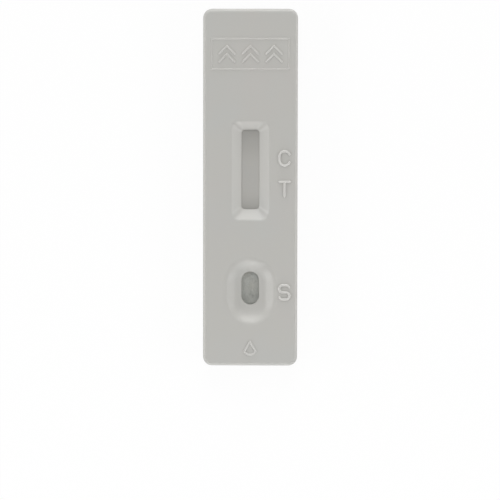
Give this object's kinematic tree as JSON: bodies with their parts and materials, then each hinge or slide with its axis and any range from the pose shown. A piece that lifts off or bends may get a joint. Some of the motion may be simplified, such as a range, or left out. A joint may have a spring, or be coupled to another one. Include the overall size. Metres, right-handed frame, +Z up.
{
  "type": "lateral flow cassette",
  "caption": "Slim moulded test cassette with a bevelled read window, an oval sample well and a layered test strip clamped between its two housing shells.",
  "frame": {"origin": "centre of the base's underside", "axes": "+X across the cassette, +Y along it from the sample well towards the dry end, +Z up out of the read window"},
  "size_m": [0.0186, 0.07, 0.005],
  "materials": {
    "housing_plastic": "satin",
    "card_plastic": "satin",
    "membrane_film": "matte",
    "conjugate_fibre": "matte",
    "sample_fibre": "matte",
    "absorbent_fibre": "matte"
  },
  "bodies": {
    "root": {"top_cover": "housing_plastic", "base_tray": "housing_plastic", "backing_card": "card_plastic", "membrane": "membrane_film", "conjugate_pad": "conjugate_fibre", "sample_pad": "sample_fibre", "absorbent_pad": "absorbent_fibre"}
  },
  "joints": []
}
